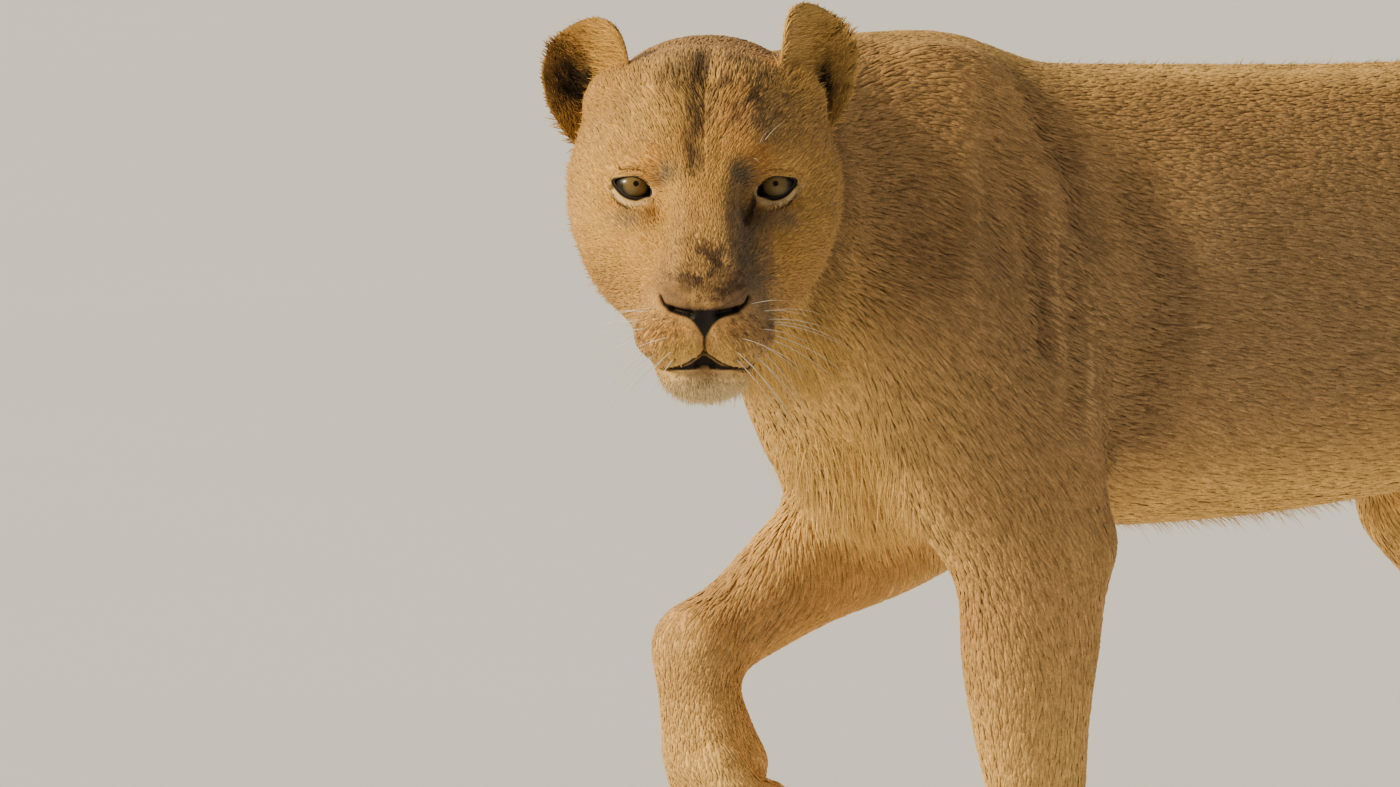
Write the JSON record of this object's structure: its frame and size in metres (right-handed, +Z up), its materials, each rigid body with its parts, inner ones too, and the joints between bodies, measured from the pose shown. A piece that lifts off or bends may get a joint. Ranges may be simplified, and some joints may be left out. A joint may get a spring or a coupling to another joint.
{
  "type": "lioness",
  "caption": "Life-size lioness walking, her head turned to her left and one forepaw lifted, as a still model with a short tawny coat.",
  "frame": {"origin": "the middle of her bounding box, on the floor", "axes": "+Z up; she walks towards -X, her left side faces -Y, and her head is turned to -Y"},
  "size_m": [1.749, 0.6282, 0.9672],
  "materials": {
    "head": "short matt fur",
    "left_ear": "short matt fur",
    "left_eye": "gloss, wet looking",
    "left_forearm": "short matt fur",
    "left_forepaw": "short matt fur",
    "left_hind_foot": "short matt fur",
    "left_shank": "short matt fur",
    "left_thigh": "short matt fur",
    "neck": "short matt fur",
    "right_ear": "short matt fur",
    "right_eye": "gloss, wet looking",
    "right_forearm": "short matt fur",
    "right_forepaw": "short matt fur",
    "right_hind_foot": "short matt fur",
    "right_shank": "short matt fur",
    "right_thigh": "short matt fur",
    "tail": "short matt fur",
    "tail_tuft": "short matt fur",
    "trunk": "short matt fur"
  },
  "bodies": {
    "root": {"head": "head", "left_ear": "left_ear", "left_eye": "left_eye", "left_forearm": "left_forearm", "left_forepaw": "left_forepaw", "left_hind_foot": "left_hind_foot", "left_shank": "left_shank", "left_thigh": "left_thigh", "neck": "neck", "right_ear": "right_ear", "right_eye": "right_eye", "right_forearm": "right_forearm", "right_forepaw": "right_forepaw", "right_hind_foot": "right_hind_foot", "right_shank": "right_shank", "right_thigh": "right_thigh", "tail": "tail", "tail_tuft": "tail_tuft", "trunk": "trunk"}
  },
  "joints": []
}
